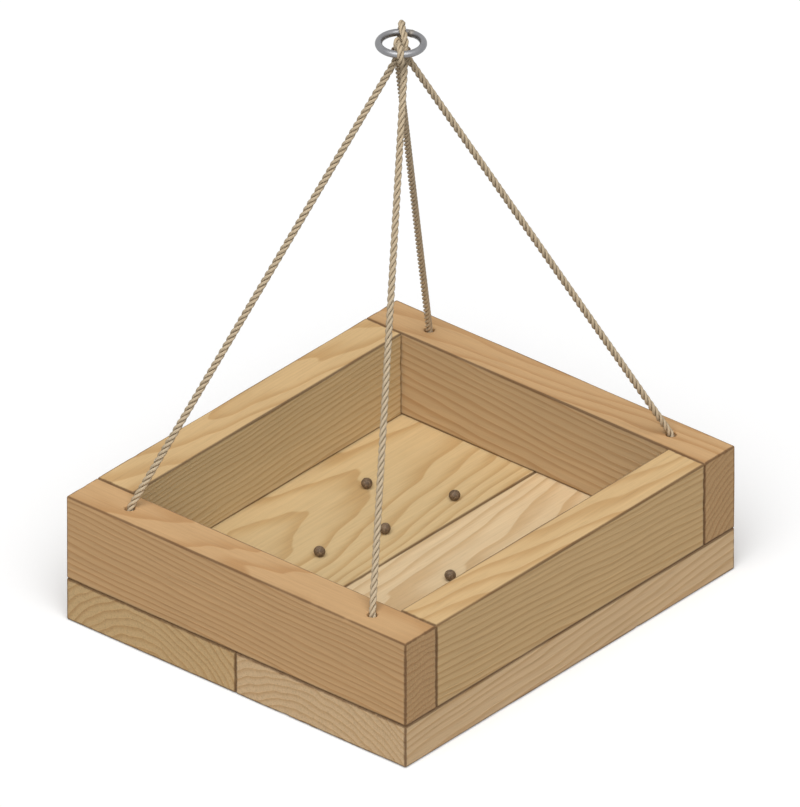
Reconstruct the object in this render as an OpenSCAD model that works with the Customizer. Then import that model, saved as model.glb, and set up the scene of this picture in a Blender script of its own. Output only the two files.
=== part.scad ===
// Hanging platform bird feeder: an open wooden tray on two floor boards,
// carried by two cords that pass through its front and back boards and loop
// round a steel ring. The origin is the middle of the underside, +Z is up and
// the front board faces -Y.

/* [Tray] */
// Thickness of every board
board_t = 19.05; // [16:0.05:22]
// Height of the frame boards above the floor
frame_h = 38.1; // [36:0.1:60]
// Width of each of the two floor boards
floor_board_w = 88.9; // [80:0.1:140]
// Depth of the tray, which is the length of the floor boards
tray_depth = 203.2; // [190:0.1:300]

/* [Cord holes] */
// Distance from the end of a board to the middle of its cord hole
cord_hole_inset = 25.4; // [23:0.1:27]
// Diameter of the cord holes
cord_hole_d = 4.2; // [4:0.1:6]
// Chamfer round the upper mouth of a cord hole
cord_hole_chamfer = 0.6; // [0.2:0.1:1]
// Diameter of the pocket under the floor that hides a knot
knot_pocket_d = 15; // [13:0.1:17]
// Depth of the pocket under the floor that hides a knot
knot_pocket_h = 12; // [11:0.1:14]

/* [Cords and ring] */
// Diameter of the cord
cord_d = 3; // [2:0.1:3.1]
// Diameter of a stopper knot
knot_d = 10.5; // [8:0.1:12]
// Height of a stopper knot
knot_h = 9; // [7:0.1:10]
// Height of the ring's middle plane above the underside
ring_height = 254; // [240:0.5:300]
// Inner diameter of the ring
ring_inner_d = 14.8; // [14.5:0.1:17]
// Diameter of the ring's wire
ring_wire_d = 3; // [2:0.1:3.2]
// Gap between a loop of cord and the ring's wire inside it
loop_gap = 0.75; // [0.6:0.05:0.9]
// Direction in which the loops leave the bundle, counted from the front
loop_turn = 40; // [30:1:45]
// Diameter of the whipping thread
thread_d = 0.8; // [0.5:0.1:0.8]
// Turns of whipping thread
thread_turns = 2; // [1:1:2]

/* [Screws] */
// Length of a floor screw
screw_len = 38; // [32:0.5:45]
// Outer diameter of a screw's thread and shank
screw_d = 4.2; // [3.5:0.1:4.6]
// Core diameter of a screw's thread
screw_core_d = 2.9; // [2.2:0.1:3.2]
// Diameter of a screw's head
screw_head_d = 8.2; // [7:0.1:9]
// Rise of the thread in one turn
screw_pitch = 2.8; // [2:0.1:3]
// Depth that the heads lie below the underside
screw_sink = 0.5; // [0.3:0.1:1]
// Distance from the seam of the floor to the nearest screws
seam_screw_offset = 22; // [12:0.5:24]
// Wood between a knot's pocket and the head of the nearest screw
pocket_screw_gap = 5.9; // [2:0.1:8]
// Wood between a dowel's hole and the nearest screw
dowel_screw_gap = 11.45; // [5:0.05:20]

/* [Dowels] */
// Diameter of the dowels in the frame's corners
dowel_d = 6; // [5:0.1:8]
// Length of a dowel
dowel_len = 30; // [24:0.5:32]
// Share of a dowel that sits in the front or back board
dowel_cross_share = 0.4; // [0.3:0.01:0.45]

/* [Seed] */
// Diameter of a seed
seed_d = 4.8; // [3:0.1:8]

/* [Hidden] */

$fn = 64;
overrun = 1;            // how far a cut runs past the face that it leaves by

tray_w = 2 * floor_board_w;
tray_h = board_t + frame_h;
inner_w = tray_w - 2 * board_t;
inner_depth = tray_depth - 2 * board_t;

cord_hole_x = tray_w / 2 - cord_hole_inset;
cord_hole_y = tray_depth / 2 - board_t / 2;

side_board_x = tray_w / 2 - board_t / 2;
screw_hole_clear = 0.2; // round a screw where it passes through the floor
screw_head_h = (screw_head_d - screw_d) / 2;
screw_rim_h = 0.4;      // straight edge of a screw's head
screw_tip_h = screw_d;
pilot_extra = 1.5;      // depth of a pilot hole past its screw's point
recess_w = 1.1;         // width of an arm of the driver's recess
recess_span = 4.4;      // length across two arms of the recess
recess_h = 2.2;         // depth of the recess

dowel_height_shares = [0.27, 0.73];
dowel_end_clear = 1;    // spare depth of a dowel's hole at each end
dowel_side_len = (1 - dowel_cross_share) * dowel_len;
outer_screw_x = cord_hole_x - knot_pocket_d / 2 - pocket_screw_gap - screw_head_d / 2;
outer_screw_y = inner_depth / 2 - dowel_side_len - dowel_end_clear - dowel_screw_gap - screw_d / 2;

cord_clear = 0.2;       // between two cords of the bundle
bundle_half = (cord_d + cord_clear) / 2;
ring_r = (ring_inner_d + ring_wire_d) / 2;
loop_r = (cord_d + ring_wire_d) / 2 + loop_gap;
loop_leave = 125;       // angle at which a loop's strands leave the ring's wire
loop_side = 0.4;        // sideways lean of a loop where it leaves the wire
strand_bend_out_r = cord_d;
strand_bend_in_r = 0.65 * cord_d;
leg_bend_r = cord_d;
foot_bend_r = 2 * cord_d;
cord_sides = 8;         // flat sides of a cord's tube
bend_steps = 3;         // chords of a bend
loop_steps = 8;         // chords of a loop round the wire

whip_h = thread_turns * thread_d;
whip_room = 0.2;        // straight run of cord below the thread

// places of the seeds, as shares of half the tray's inner width and depth
seed_place_shares = [[-0.62, 0.36], [-0.15, 0.55], [-0.21, 0.09], [-0.33, -0.28], [0.41, -0.04]];

front_shade = [0.77, 0.62, 0.45];
side_shade = [0.81, 0.68, 0.50];
floor_shade = [0.81, 0.68, 0.50];
pale_floor_shade = [0.84, 0.71, 0.55];
cord_shade = [0.79, 0.72, 0.61];
thread_shade = [0.70, 0.62, 0.50];
ring_shade = [0.56, 0.56, 0.57];
dowel_shade = [0.86, 0.76, 0.60];
screw_shade = [0.72, 0.70, 0.66];
seed_shade = [0.42, 0.34, 0.26];

// A strand climbs from the bundle at this height before it bends outward.
strand_lean = 180 - loop_leave;
strand_rise = ring_height + loop_r * sin(loop_leave) - strand_bend_out_r * sin(strand_lean)
    - (ring_r + loop_r * cos(loop_leave) - bundle_half
        - strand_bend_out_r * (1 - cos(strand_lean))) / tan(strand_lean);
// The returning strand comes down into the bundle at this height.
bundle_top = ring_height - loop_r * sin(loop_leave) - strand_bend_in_r * sin(loop_leave)
    + (ring_r + loop_r * cos(loop_leave) - bundle_half
        - strand_bend_in_r * (1 - cos(loop_leave))) / tan(strand_lean);
bundle_foot = bundle_top - whip_h - whip_room;
foot_bend_from = tray_h - foot_bend_r / 3;

function unit(v) = v / norm(v);

// Place in the loops' own frame, turned about the axis: v sideways, u outward, z up.
function placed(v, u, z) = [
    v * cos(loop_turn) + u * sin(loop_turn),
    v * sin(loop_turn) - u * cos(loop_turn),
    z
];

// Lean of a leg that crosses `across` and climbs `up` with a bend at each end,
// found by repeated substitution.
function leg_lean(across, up, lean = 30, i = 0) =
    let (r = foot_bend_r + leg_bend_r)
    i == 8 ? lean
    : leg_lean(across, up, atan((across - r * (1 - cos(lean))) / (up - r * sin(lean))), i + 1);

// A leg from the knot at one corner up to its place in the bundle.
function leg(side_x, side_v) =
    let (
        hole = [side_x * cord_hole_x, -cord_hole_y, 0],
        spot = placed(side_v * bundle_half, bundle_half, 0),
        inward = unit(spot - hole),
        lean = leg_lean(norm(spot - hole), bundle_foot - foot_bend_from),
        up = [0, 0, 1]
    )
    concat(
        [hole + knot_pocket_h * up],
        [for (k = [0 : bend_steps]) let (a = lean * k / bend_steps)
            hole + foot_bend_r * (1 - cos(a)) * inward + (foot_bend_from + foot_bend_r * sin(a)) * up],
        [for (k = [0 : bend_steps]) let (a = lean * (1 - k / bend_steps))
            spot - leg_bend_r * (1 - cos(a)) * inward + (bundle_foot - leg_bend_r * sin(a)) * up]
    );

// The front cord: up from the left knot, through the whipping, over and round the
// ring's wire, back into the bundle and down to the right knot.
function front_cord_route() =
    let (
        left_leg = leg(-1, -1),
        right_leg = leg(1, 1)
    )
    concat(
        left_leg,
        [for (k = [0 : bend_steps]) let (a = strand_lean * k / bend_steps)
            placed(-bundle_half, bundle_half + strand_bend_out_r * (1 - cos(a)),
                strand_rise + strand_bend_out_r * sin(a))],
        [for (k = [0 : loop_steps]) let (turn = 2 * k / loop_steps - 1, a = -loop_leave * turn)
            placed(loop_side * turn, ring_r + loop_r * cos(a), ring_height + loop_r * sin(a))],
        [for (k = [0 : bend_steps + 1]) let (a = loop_leave * (1 - k / (bend_steps + 1)))
            placed(bundle_half, bundle_half + strand_bend_in_r * (1 - cos(a)),
                bundle_top + strand_bend_in_r * sin(a))],
        [for (i = [len(right_leg) - 1 : -1 : 0]) right_leg[i]]
    );

function back_cord_route() = [for (p = front_cord_route()) [-p[0], -p[1], p[2]]];

// Direction of the route at point i: the mean of the runs before and after it.
function heading(route, i) =
    let (last = len(route) - 1)
    i == 0 ? unit(route[1] - route[0])
    : i == last ? unit(route[last] - route[last - 1])
    : unit(unit(route[i] - route[i - 1]) + unit(route[i + 1] - route[i]));

// A side direction at each point, carried along the route with the least turning.
function side_directions(route, i = 0, before = [1, 0, 0]) =
    let (
        h = heading(route, i),
        s = unit(before - (before * h) * h)
    )
    i == len(route) - 1 ? [s] : concat([s], side_directions(route, i + 1, s));

// A closed tube of round section along the route.
module tube(route, d) {
    n = cord_sides;
    sides = side_directions(route);
    rings = [for (i = [0 : len(route) - 1], k = [0 : n - 1])
        let (
            a = 360 * k / n,
            s = sides[i],
            t = cross(heading(route, i), s)
        )
        route[i] + (d / 2) * (cos(a) * s + sin(a) * t)];
    walls = [for (i = [0 : len(route) - 2], k = [0 : n - 1], half = [0, 1])
        let (
            a = i * n + k,
            b = i * n + (k + 1) % n
        )
        half == 0 ? [a, a + n, b + n] : [a, b + n, b]];
    first = [for (k = [1 : n - 2]) [0, k, k + 1]];
    e = (len(route) - 1) * n;
    last = [for (k = [1 : n - 2]) [e, e + k + 1, e + k]];
    polyhedron(points = rings, faces = concat(walls, first, last));
}

// The cord hole at one corner, through frame and floor, with the knot's pocket.
module cord_hole(side_x, side_y) {
    translate([side_x * cord_hole_x, side_y * cord_hole_y, 0]) {
        translate([0, 0, -overrun])
            cylinder(d = cord_hole_d, h = tray_h + 2 * overrun);
        translate([0, 0, -overrun])
            cylinder(d = knot_pocket_d, h = knot_pocket_h + overrun);
        translate([0, 0, tray_h - cord_hole_chamfer])
            cylinder(d1 = cord_hole_d, d2 = cord_hole_d + 2 * (cord_hole_chamfer + overrun),
                h = cord_hole_chamfer + overrun);
    }
}

// Outline of a screw from its head, at z = 0, up to its point.
function screw_outline() =
    let (
        thread_from = screw_len - screw_tip_h - screw_pitch * 7,
        thread_half = screw_pitch / 5
    )
    concat(
        [[0, 0], [screw_head_d / 2, 0], [screw_head_d / 2, screw_rim_h],
            [screw_d / 2, screw_rim_h + screw_head_h]],
        [for (turn = [0 : 6], step = [0, 1, 2])
            let (z = thread_from + (turn + 0.5) * screw_pitch)
            [step == 1 ? screw_d / 2 : screw_core_d / 2, z + (step - 1) * thread_half]],
        [[screw_core_d / 2, screw_len - screw_tip_h], [0, screw_len]]
    );

module screw() {
    outline = screw_outline();
    shank_end = outline[4][1];
    difference() {
        union() {
            rotate_extrude()
                polygon(outline);
            translate([0, 0, screw_rim_h + screw_head_h])
                cylinder(d = screw_d, h = shank_end - screw_rim_h - screw_head_h);
        }
        for (turn = [0, 90])
            rotate(turn)
                translate([-recess_span / 2, -recess_w / 2, -overrun])
                    cube([recess_span, recess_w, recess_h + overrun]);
    }
}

// Cuts for one screw: a clearance hole and countersink in the floor and a pilot above.
module screw_cut() {
    clear_d = screw_d + 2 * screw_hole_clear;
    translate([0, 0, -overrun])
        cylinder(d = screw_head_d + 2 * screw_hole_clear, h = screw_sink + screw_rim_h + overrun);
    translate([0, 0, screw_sink + screw_rim_h])
        cylinder(d1 = screw_head_d, d2 = screw_d, h = screw_head_h);
    cylinder(d = clear_d, h = board_t);
    cylinder(d = screw_core_d, h = screw_sink + screw_len + pilot_extra);
}

function cross_board_screws(side_y) =
    [for (side_x = [-1, 1], x = [seam_screw_offset, outer_screw_x])
        [side_x * x, side_y * cord_hole_y]];

function side_board_screws(side_x) =
    [for (side_y = [-1, 0, 1]) [side_x * side_board_x, side_y * outer_screw_y]];

// The two dowels of one corner, as drawn, or with their spare depth as cuts.
module dowels_at(side_x, side_y, spare) {
    from_y = inner_depth / 2 - dowel_side_len - spare;
    for (share = dowel_height_shares)
        translate([side_x * side_board_x, side_y * from_y, board_t + share * frame_h])
            rotate([-side_y * 90, 0, 0])
                cylinder(d = dowel_d, h = dowel_len + 2 * spare);
}

all_screws = concat(cross_board_screws(-1), cross_board_screws(1),
    side_board_screws(-1), side_board_screws(1));

module cut_for_hardware() {
    difference() {
        children();
        for (side_x = [-1, 1], side_y = [-1, 1])
            cord_hole(side_x, side_y);
        for (p = all_screws)
            translate([p[0], p[1], 0])
                screw_cut();
        for (side_x = [-1, 1], side_y = [-1, 1])
            dowels_at(side_x, side_y, dowel_end_clear);
    }
}

module floor_board(side_x) {
    color(side_x < 0 ? floor_shade : pale_floor_shade)
        cut_for_hardware()
            translate([side_x < 0 ? -floor_board_w : 0, -tray_depth / 2, 0])
                cube([floor_board_w, tray_depth, board_t]);
}

module cross_board(side_y) {
    color(front_shade)
        cut_for_hardware()
            translate([-tray_w / 2, side_y * cord_hole_y - board_t / 2, board_t])
                cube([tray_w, board_t, frame_h]);
}

module side_board(side_x) {
    color(side_shade)
        cut_for_hardware()
            translate([side_x * side_board_x - board_t / 2, -inner_depth / 2, board_t])
                cube([board_t, inner_depth, frame_h]);
}

module screws_at(places) {
    color(screw_shade)
        for (p = places)
            translate([p[0], p[1], screw_sink])
                screw();
}

module corner_dowels(side_x, side_y) {
    color(dowel_shade)
        dowels_at(side_x, side_y, 0);
}

module cord(route) {
    color(cord_shade)
        tube(route, cord_d);
}

// A stopper knot: a round lump with a flat top, where its cord enters.
module knot(side_x, side_y) {
    color(cord_shade)
        translate([side_x * cord_hole_x, side_y * cord_hole_y, knot_pocket_h - knot_h])
            rotate_extrude()
                intersection() {
                    translate([0, knot_h / 2])
                        scale([knot_d / knot_h, 1])
                            circle(d = knot_h * 1.1);
                    square([knot_d / 2, knot_h]);
                }
}

// Square with round corners: the outline of four round cords held together.
module bundle_outline(r) {
    square([2 * (bundle_half + r), 2 * bundle_half], center = true);
    square([2 * bundle_half, 2 * (bundle_half + r)], center = true);
    for (side_x = [-1, 1], side_y = [-1, 1])
        translate([side_x * bundle_half, side_y * bundle_half])
            circle(r = r);
}

module cord_whipping() {
    inner_r = cord_d / 2;
    color(thread_shade)
        translate([0, 0, bundle_top - whip_h])
            rotate(loop_turn)
                linear_extrude(whip_h)
                    difference() {
                        bundle_outline(inner_r + thread_d);
                        bundle_outline(inner_r);
                    }
}

module hanging_ring() {
    color(ring_shade)
        translate([0, 0, ring_height])
            rotate_extrude()
                translate([(ring_inner_d + ring_wire_d) / 2, 0])
                    circle(d = ring_wire_d);
}

module seeds() {
    color(seed_shade)
        for (share = seed_place_shares)
            translate([share[0] * inner_w / 2, share[1] * inner_depth / 2, board_t + seed_d / 2])
                sphere(d = seed_d);
}

floor_board(-1);  // floor_board_left
floor_board(1);  // floor_board_right
cross_board(-1);  // front_board
cross_board(1);  // back_board
side_board(-1);  // left_board
side_board(1);  // right_board
cord(front_cord_route());  // front_cord
cord(back_cord_route());  // back_cord
cord_whipping();
hanging_ring();
knot(-1, -1);  // front_left_knot
knot(1, -1);  // front_right_knot
knot(-1, 1);  // back_left_knot
knot(1, 1);  // back_right_knot
corner_dowels(-1, -1);  // front_left_dowels
corner_dowels(1, -1);  // front_right_dowels
corner_dowels(-1, 1);  // back_left_dowels
corner_dowels(1, 1);  // back_right_dowels
screws_at(cross_board_screws(-1));  // front_board_screws
screws_at(cross_board_screws(1));  // back_board_screws
screws_at(side_board_screws(-1));  // left_board_screws
screws_at(side_board_screws(1));  // right_board_screws
seeds();
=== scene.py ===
# %% [markdown]
# # A hanging tray for garden birds
# This lesson dresses a small platform feeder: six boards of bare softwood, two
# cords of laid rope, a steel ring, a few seeds, and the screws and knots that
# nobody sees until the tray is turned over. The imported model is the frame. It
# gives every piece its place, in metres, and each new piece rides on one of
# its two bodies: the feeder itself, or the ring that tilts in its loops.

import math

import bmesh
import bpy
import numpy as np
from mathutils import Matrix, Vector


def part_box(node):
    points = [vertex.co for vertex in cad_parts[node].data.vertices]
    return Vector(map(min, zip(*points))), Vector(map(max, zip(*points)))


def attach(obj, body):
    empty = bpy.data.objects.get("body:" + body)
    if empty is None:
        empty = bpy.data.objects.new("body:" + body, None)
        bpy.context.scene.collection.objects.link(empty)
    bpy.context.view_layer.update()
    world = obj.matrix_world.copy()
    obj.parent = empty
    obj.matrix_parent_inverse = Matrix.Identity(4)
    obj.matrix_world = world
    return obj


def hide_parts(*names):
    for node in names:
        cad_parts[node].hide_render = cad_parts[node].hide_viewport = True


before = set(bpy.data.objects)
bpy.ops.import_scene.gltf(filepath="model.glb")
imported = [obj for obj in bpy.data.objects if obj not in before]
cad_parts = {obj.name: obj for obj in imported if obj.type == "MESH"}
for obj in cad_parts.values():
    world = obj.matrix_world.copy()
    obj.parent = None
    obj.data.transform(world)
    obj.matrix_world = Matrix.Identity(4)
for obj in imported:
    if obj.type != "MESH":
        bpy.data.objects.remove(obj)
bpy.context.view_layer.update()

# %% [markdown]
# ## Sizes
# The boards are stock lumber, so a few sizes fix everything. They repeat the
# solid model's own values, because the cords have to follow the same route as
# its tubes and the holes have to meet the screws and knots.

# %% Sizes in metres
MM = 0.001
BOARD_T = 19.05 * MM
FRAME_H = 38.1 * MM
TRAY_W = 177.8 * MM
TRAY_D = 203.2 * MM
TRAY_H = BOARD_T + FRAME_H
HOLE_X = TRAY_W / 2 - 25.4 * MM
HOLE_Y = TRAY_D / 2 - BOARD_T / 2
CORD_D = 3 * MM
RING_Z = 254 * MM
RING_R = 8.9 * MM
WIRE_R = 1.5 * MM
POCKET_H = 12 * MM
UP = np.array([0.0, 0.0, 1.0])

# %% [markdown]
# ## The camera
# The picture is a parallel drawing: edges that are parallel on the feeder are
# parallel in it. A very long lens from far away draws almost the same, and
# still behaves as a camera does when a view from another side is wanted. It
# stands 40.4 degrees round to the right of the front and looks down at 30.6
# degrees. The distance sets the scale, 2510 pixels to the metre.

# %% Camera
VIEW_AZIMUTH = math.radians(40.43)
VIEW_ELEVATION = math.radians(30.6)
PIXELS_PER_METRE = 2509.4
IMAGE_HEIGHT = 807
LENS_MM = 1600
SENSOR_MM = 36

towards_camera = np.array([
    math.sin(VIEW_AZIMUTH) * math.cos(VIEW_ELEVATION),
    -math.cos(VIEW_AZIMUTH) * math.cos(VIEW_ELEVATION),
    math.sin(VIEW_ELEVATION),
])
target = np.array([-0.0003, -0.00025, 0.0883])
distance = IMAGE_HEIGHT / PIXELS_PER_METRE * LENS_MM / SENSOR_MM

lens = bpy.data.cameras.new("camera")
lens.lens = LENS_MM
lens.sensor_width = SENSOR_MM
lens.clip_start = 0.1
lens.clip_end = 100
camera = bpy.data.objects.new("camera", lens)
camera.location = target + distance * towards_camera
camera.rotation_euler = (math.pi / 2 - VIEW_ELEVATION, 0, VIEW_AZIMUTH)
bpy.context.scene.collection.objects.link(camera)
bpy.context.scene.camera = camera
bpy.context.scene.view_settings.view_transform = "Standard"
print(f"camera {distance:.2f} m away")

# %% [markdown]
# ## Shader maths as sentences
# A finish is worked out from numbers that change over the surface. Wiring
# Math nodes by hand hides the thought, so a small class wraps a socket and
# gives it the ordinary operators: `1 - mask * 0.3` then adds its own nodes.

# %% Terms and finishes
class Term:
    """An output socket of one finish. Operators on it add Math nodes."""

    def __init__(self, finish, socket):
        self.finish = finish
        self.socket = socket

    def _math(self, operation, *values):
        return self.finish.node("ShaderNodeMath", {"operation": operation}, dict(enumerate(values)))

    def __add__(self, other):
        return self._math("ADD", self, other)

    def __sub__(self, other):
        return self._math("SUBTRACT", self, other)

    def __rsub__(self, other):
        return self._math("SUBTRACT", other, self)

    def __mul__(self, other):
        return self._math("MULTIPLY", self, other)

    def __truediv__(self, other):
        return self._math("DIVIDE", self, other)

    def __pow__(self, other):
        return self._math("POWER", self, other)

    __radd__ = __add__
    __rmul__ = __mul__

    def least(self, other):
        return self._math("MINIMUM", self, other)

    def most(self, other):
        return self._math("MAXIMUM", self, other)

    def size(self):
        return self._math("ABSOLUTE", self)

    def root(self):
        return self._math("SQRT", self)

    def wave(self):
        return self._math("SINE", self)

    def fraction(self):
        return self._math("FRACT", self)

    def rise(self, low, high):
        """0 below low, 1 above high, with a smooth slope between them."""
        return self.finish.node(
            "ShaderNodeMapRange",
            {"interpolation_type": "SMOOTHSTEP"},
            {"Value": self, "From Min": low, "From Max": high},
        )


class Finish:
    """The nodes of a new material, or of the world where that is given."""

    def __init__(self, name, world=None):
        self.material = world or bpy.data.materials.new(name)
        self.material.use_nodes = True
        self.tree = self.material.node_tree
        self.shader = self.tree.nodes["Background" if world else "Principled BSDF"]

    def node(self, kind, settings=None, sockets=None, out=0):
        """Add a node: its settings first, then the value or link of each socket."""
        made = self.tree.nodes.new(kind)
        for key, value in (settings or {}).items():
            setattr(made, key, value)
        self.feed(made, sockets or {})
        return Term(self, made.outputs[out])

    def feed(self, made, sockets):
        for key, value in sockets.items():
            if isinstance(value, Term):
                self.tree.links.new(value.socket, made.inputs[key])
            else:
                made.inputs[key].default_value = value

    def coordinates(self):
        return self.node("ShaderNodeTexCoord", out="Object")

    def uv(self):
        return self.node("ShaderNodeTexCoord", out="UV")

    def axes(self, vector):
        """The three numbers of a vector."""
        first = self.node("ShaderNodeSeparateXYZ", sockets={0: vector})
        return [Term(self, socket) for socket in first.socket.node.outputs]

    def vector(self, x, y, z):
        return self.node("ShaderNodeCombineXYZ", sockets={0: x, 1: y, 2: z})

    def noise(self, at, scale, detail=2.0, roughness=0.5, distortion=0.0):
        return self.node(
            "ShaderNodeTexNoise",
            {"normalize": True},
            {"Vector": at, "Scale": scale, "Detail": detail, "Roughness": roughness,
             "Distortion": distortion},
        )

    def mix(self, factor, first, second, blend="MIX"):
        """Colour from first to second as factor goes from 0 to 1."""
        return self.node(
            "ShaderNodeMix",
            {"data_type": "RGBA", "blend_type": blend, "clamp_factor": True},
            {0: factor, 6: first, 7: second},
            out=2,
        )

    def bump(self, height, depth):
        """A normal from a height of 0 to 1, where 1 stands depth metres proud."""
        sockets = {"Height": height, "Distance": depth, "Strength": 1.0}
        return self.node("ShaderNodeBump", sockets=sockets)

    def shade(self, **sockets):
        """Set the shader's sockets, with underscores for the spaces in their names."""
        self.feed(self.shader, {key.replace("_", " "): value for key, value in sockets.items()})
        return self.material


def colour(red, green, blue):
    """The linear colour, with alpha, of a display colour counted from 0 to 255."""
    channels = []
    for value in (red, green, blue):
        share = value / 255
        channels.append(share / 12.92 if share <= 0.04045 else ((share + 0.055) / 1.055) ** 2.4)
    return (*channels, 1.0)


def grey(value):
    """A linear grey, with alpha."""
    return (value, value, value, 1.0)


def scaled(shade, factor):
    """The colour with its red, green and blue times factor."""
    return (*(channel * factor for channel in shade[:3]), 1.0)


# %% [markdown]
# ## Surfaces from arrays
# Most pieces here are a grid of points, rows along the piece and columns round
# it. One function joins such a grid into four-sided faces, another puts points
# and faces into a mesh, hangs it on its body and gives it its finish.

# %% Grids into meshes
def grid_faces(rows, columns):
    """Corners of the faces of a grid whose columns close into a ring.

    The face at row i, column k joins (i, k), (i, k + 1), (i + 1, k + 1) and
    (i + 1, k), and the column after the last is the first.
    """
    i, k = np.meshgrid(np.arange(rows - 1), np.arange(columns), indexing="ij")
    after = (k + 1) % columns
    corners = np.stack([i * columns + k, i * columns + after,
                        (i + 1) * columns + after, (i + 1) * columns + k], axis=-1)
    return corners.reshape(-1, 4)


def grid_uv(lengths, columns):
    """UV of every face corner: u is the metres along, v the share of the way round."""
    i, k = np.meshgrid(np.arange(len(lengths) - 1), np.arange(columns), indexing="ij")
    u = np.stack([lengths[i], lengths[i], lengths[i + 1], lengths[i + 1]], axis=-1)
    v = np.stack([k, k + 1, k + 1, k], axis=-1) / columns
    return np.stack([u, v], axis=-1).reshape(-1, 2)


def piece(name, points, faces, finish, body="feeder", uv=None):
    """Make an object from points and lists of faces, and ride it on its body."""
    mesh = bpy.data.meshes.new(name)
    listed = [face for group in faces for face in np.asarray(group).tolist()]
    mesh.from_pydata(np.asarray(points).tolist(), [], listed)
    mesh.polygons.foreach_set("use_smooth", np.ones(len(mesh.polygons), bool))
    if uv is not None:
        corners = np.zeros((len(mesh.loops), 2))
        corners[: len(uv)] = uv
        mesh.uv_layers.new(name="along").data.foreach_set("uv", corners.ravel())
    mesh.materials.append(finish)
    made = bpy.data.objects.new(name, mesh)
    bpy.context.scene.collection.objects.link(made)
    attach(made, body)
    return made


def unit(vectors):
    """Each vector divided by its own length."""
    return vectors / np.linalg.norm(vectors, axis=-1, keepdims=True)


SOFT_TIMES = 3


def evenly(path, step):
    """The same path with points at equal steps, and the length reached at each."""
    reached = np.concatenate([[0], np.cumsum(np.linalg.norm(np.diff(path, axis=0), axis=1))])
    lengths = np.linspace(0, reached[-1], int(reached[-1] / step) + 2)
    return np.stack([np.interp(lengths, reached, path[:, k]) for k in range(3)], axis=1), lengths


def softened(path, times):
    """The path with its corners rounded.

    Each time, every point moves to (one before + 2 itself + one after) / 4.
    """
    for _ in range(times):
        inner = (path[:-2] + 2 * path[1:-1] + path[2:]) / 4
        path = np.concatenate([path[:1], inner, path[-1:]])
    return path


def round_tube(path, across, radius, columns, lengths):
    """A tube round a path: path + radius (cos a * across + sin a * square to both).

    across is a direction for each point of the path, at a right angle to it.
    Returns points, faces with both ends closed, and the UV of the side faces.
    """
    heading = unit(np.gradient(path, axis=0))
    across = unit(across - (across * heading).sum(1, keepdims=True) * heading)
    square = np.cross(heading, across)
    angle = 2 * np.pi * np.arange(columns) / columns
    round_it = (np.cos(angle)[None, :, None] * across[:, None]
                + np.sin(angle)[None, :, None] * square[:, None])
    points = (path[:, None] + np.reshape(radius, (-1, 1, 1)) * round_it).reshape(-1, 3)
    rows = len(path)
    sides = grid_faces(rows, columns)
    ends = [np.arange(columns)[::-1][None], (np.arange(columns) + (rows - 1) * columns)[None]]
    return points, [sides, *ends], grid_uv(lengths, columns)


def gathered(parts):
    """Several tubes as one: points, faces and UV, with the faces renumbered."""
    points, sides, ends, uvs, first = [], [], [], [], 0
    for part_points, part_faces, part_uv in parts:
        points.append(part_points)
        sides.append(part_faces[0] + first)
        ends.extend(group + first for group in part_faces[1:])
        uvs.append(part_uv)
        first += len(part_points)
    return np.concatenate(points), [np.concatenate(sides), *ends], np.concatenate(uvs)


# %% [markdown]
# ## The route of the cords
# Each cord starts at a knot under the floor, climbs through a hole in the
# frame, leans over to the middle, goes up into the bundle and over the ring's
# wire, comes back in under it, and runs down the other way. A real cord has no
# corners, so every change of direction is an arc. The two bends of a leg turn
# by the same lean, and the lean that joins them is found by trying again a few
# times from a first guess. The loops stay 0.6 mm off the wire, and about half
# of that is left at either end of the ring's tilt.

# %% Route of a cord
# LOOP_TURN is the direction of the near loop. The cord stands off the wire by
# LOOP_GAP, leaves it LOOP_LEAVE round from its outermost point, and shifts
# sideways by twice LOOP_SIDE on the way. The solid model's own gap fixes where
# the bundle ends.
LOOP_TURN = math.radians(40)
LOOP_LEAVE = math.radians(125)
LOOP_SIDE = 0.4 * MM
SOLID_LOOP_GAP = 0.75 * MM
LOOP_GAP = 0.6 * MM
BUNDLE_HALF = 1.6 * MM
OUT_BEND = CORD_D
IN_BEND = 0.65 * CORD_D
LEG_BEND = CORD_D
FOOT_BEND = 2 * CORD_D
WHIP_H = 1.6 * MM
WHIP_ROOM = 0.2 * MM
THREAD_D = 0.8 * MM
ARC_STEPS = 24
ROUTE_STEP = 0.5 * MM
FIRST_LEAN = math.radians(30)
LEAN_TRIES = 12

outward = np.array([math.sin(LOOP_TURN), -math.cos(LOOP_TURN), 0])
sideways = np.array([math.cos(LOOP_TURN), math.sin(LOOP_TURN), 0])


def placed(v, u, z):
    """Points from sideways, outward and height numbers, given as arrays."""
    v, u, z = np.broadcast_arrays(np.asarray(v, float), u, z)
    return v[..., None] * sideways + u[..., None] * outward + z[..., None] * UP


def heights(gap):
    """Where the strand that leaves and the one that returns stop being upright."""
    loop_r = CORD_D / 2 + WIRE_R + gap
    lean = math.pi - LOOP_LEAVE
    room = RING_R + loop_r * math.cos(LOOP_LEAVE) - BUNDLE_HALF
    rise = (RING_Z + loop_r * math.sin(LOOP_LEAVE) - OUT_BEND * math.sin(lean)
            - (room - OUT_BEND * (1 - math.cos(lean))) / math.tan(lean))
    top = (RING_Z - loop_r * math.sin(LOOP_LEAVE) - IN_BEND * math.sin(LOOP_LEAVE)
           + (room - IN_BEND * (1 - math.cos(LOOP_LEAVE))) / math.tan(lean))
    return rise, top


BUNDLE_TOP = heights(SOLID_LOOP_GAP)[1]
BUNDLE_FOOT = BUNDLE_TOP - WHIP_H - WHIP_ROOM
FOOT_FROM = TRAY_H - FOOT_BEND / 3


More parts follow.
